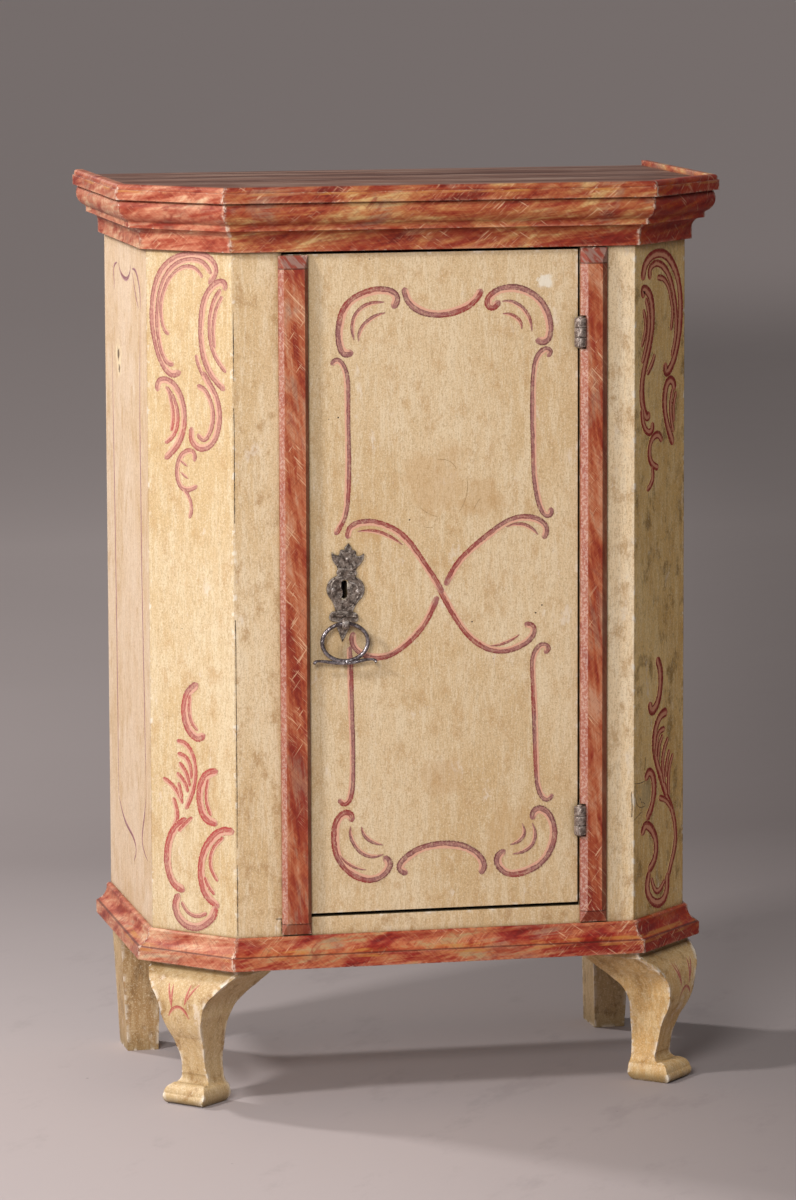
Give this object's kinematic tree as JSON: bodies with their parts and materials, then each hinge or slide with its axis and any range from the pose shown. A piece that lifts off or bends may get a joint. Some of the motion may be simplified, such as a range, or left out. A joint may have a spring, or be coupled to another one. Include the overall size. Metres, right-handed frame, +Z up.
{
  "type": "cupboard",
  "caption": "Painted pine cupboard with slanted front corners, moulded cornice and base, sawn cabriole front legs, and a door on pin hinges with lock and ring handle.",
  "frame": {"origin": "on the floor, under the middle of the whole cupboard's box", "axes": "+Z up, -Y is the front with the door, +X to the right as one stands before it"},
  "size_m": [0.704, 0.414, 1.049],
  "materials": {
    "marbled_paint": "oil paint marbled in red, pink and ochre, worn to a soft sheen",
    "cream_paint": "aged cream oil paint with painted scrolls, soft sheen",
    "bare_pine": "unpainted old pine, planed",
    "dark_top": "dark red-brown marbled paint, worn and glossy",
    "iron": "old forged iron, dark brown and smoothed by hands"
  },
  "bodies": {
    "case": {"base_front": "marbled_paint", "base_left_side": "marbled_paint", "base_left_slant": "marbled_paint", "base_right_side": "marbled_paint", "base_right_slant": "marbled_paint", "bolt_keeper": "iron", "bottom_rail": "cream_paint", "cornice_front": "marbled_paint", "cornice_left_side": "marbled_paint", "cornice_left_slant": "marbled_paint", "cornice_right_side": "marbled_paint", "cornice_right_slant": "marbled_paint", "floor_board": "bare_pine", "front_left_block": "bare_pine", "front_left_leg": "cream_paint", "front_right_block": "bare_pine", "front_right_leg": "cream_paint", "left_back_board": "bare_pine", "left_side_board": "cream_paint", "left_slanted_board": "cream_paint", "left_stile": "cream_paint", "lower_hinge_pin": "iron", "lower_hinge_post_leaf": "iron", "lower_shelf": "bare_pine", "middle_back_board": "bare_pine", "post_strip": "marbled_paint", "rear_left_block": "bare_pine", "rear_left_leg": "cream_paint", "rear_right_block": "bare_pine", "rear_right_leg": "cream_paint", "right_back_board": "bare_pine", "right_side_board": "cream_paint", "right_slanted_board": "cream_paint", "right_stile": "cream_paint", "shelf_cleats": "bare_pine", "top_board": "dark_top", "top_edge_front": "marbled_paint", "top_edge_left_side": "marbled_paint", "top_edge_left_slant": "marbled_paint", "top_edge_right_side": "marbled_paint", "top_edge_right_slant": "marbled_paint", "top_rail": "bare_pine", "upper_hinge_pin": "iron", "upper_hinge_post_leaf": "iron", "upper_shelf": "bare_pine"},
    "door": {"door_panel": "cream_paint", "lower_door_batten": "bare_pine", "upper_door_batten": "bare_pine", "door_strip": "marbled_paint", "lower_hinge_door_leaf": "iron", "upper_hinge_door_leaf": "iron", "escutcheon_plate": "iron", "escutcheon_nails": "iron", "lock_case": "iron", "handle_eye": "iron"},
    "bolt": {"lock_bolt": "iron"},
    "ring": {"ring_handle": "iron"}
  },
  "joints": [
    {"name": "door_hinge", "type": "hinge", "parent": "case", "child": "door", "pos_m": [0.16725, -0.177, 0.603], "axis": [0, 0, 1], "range_deg": [0, 180]},
    {"name": "bolt_slide", "type": "slide", "parent": "door", "child": "bolt", "axis": [-1, 0, 0], "range_m": [0, 0.012]},
    {"name": "ring_swing", "type": "hinge", "parent": "door", "child": "ring", "pos_m": [-0.108, -0.182, 0.554], "axis": [-1, 0, 0], "range_deg": [-8, 120]}
  ]
}
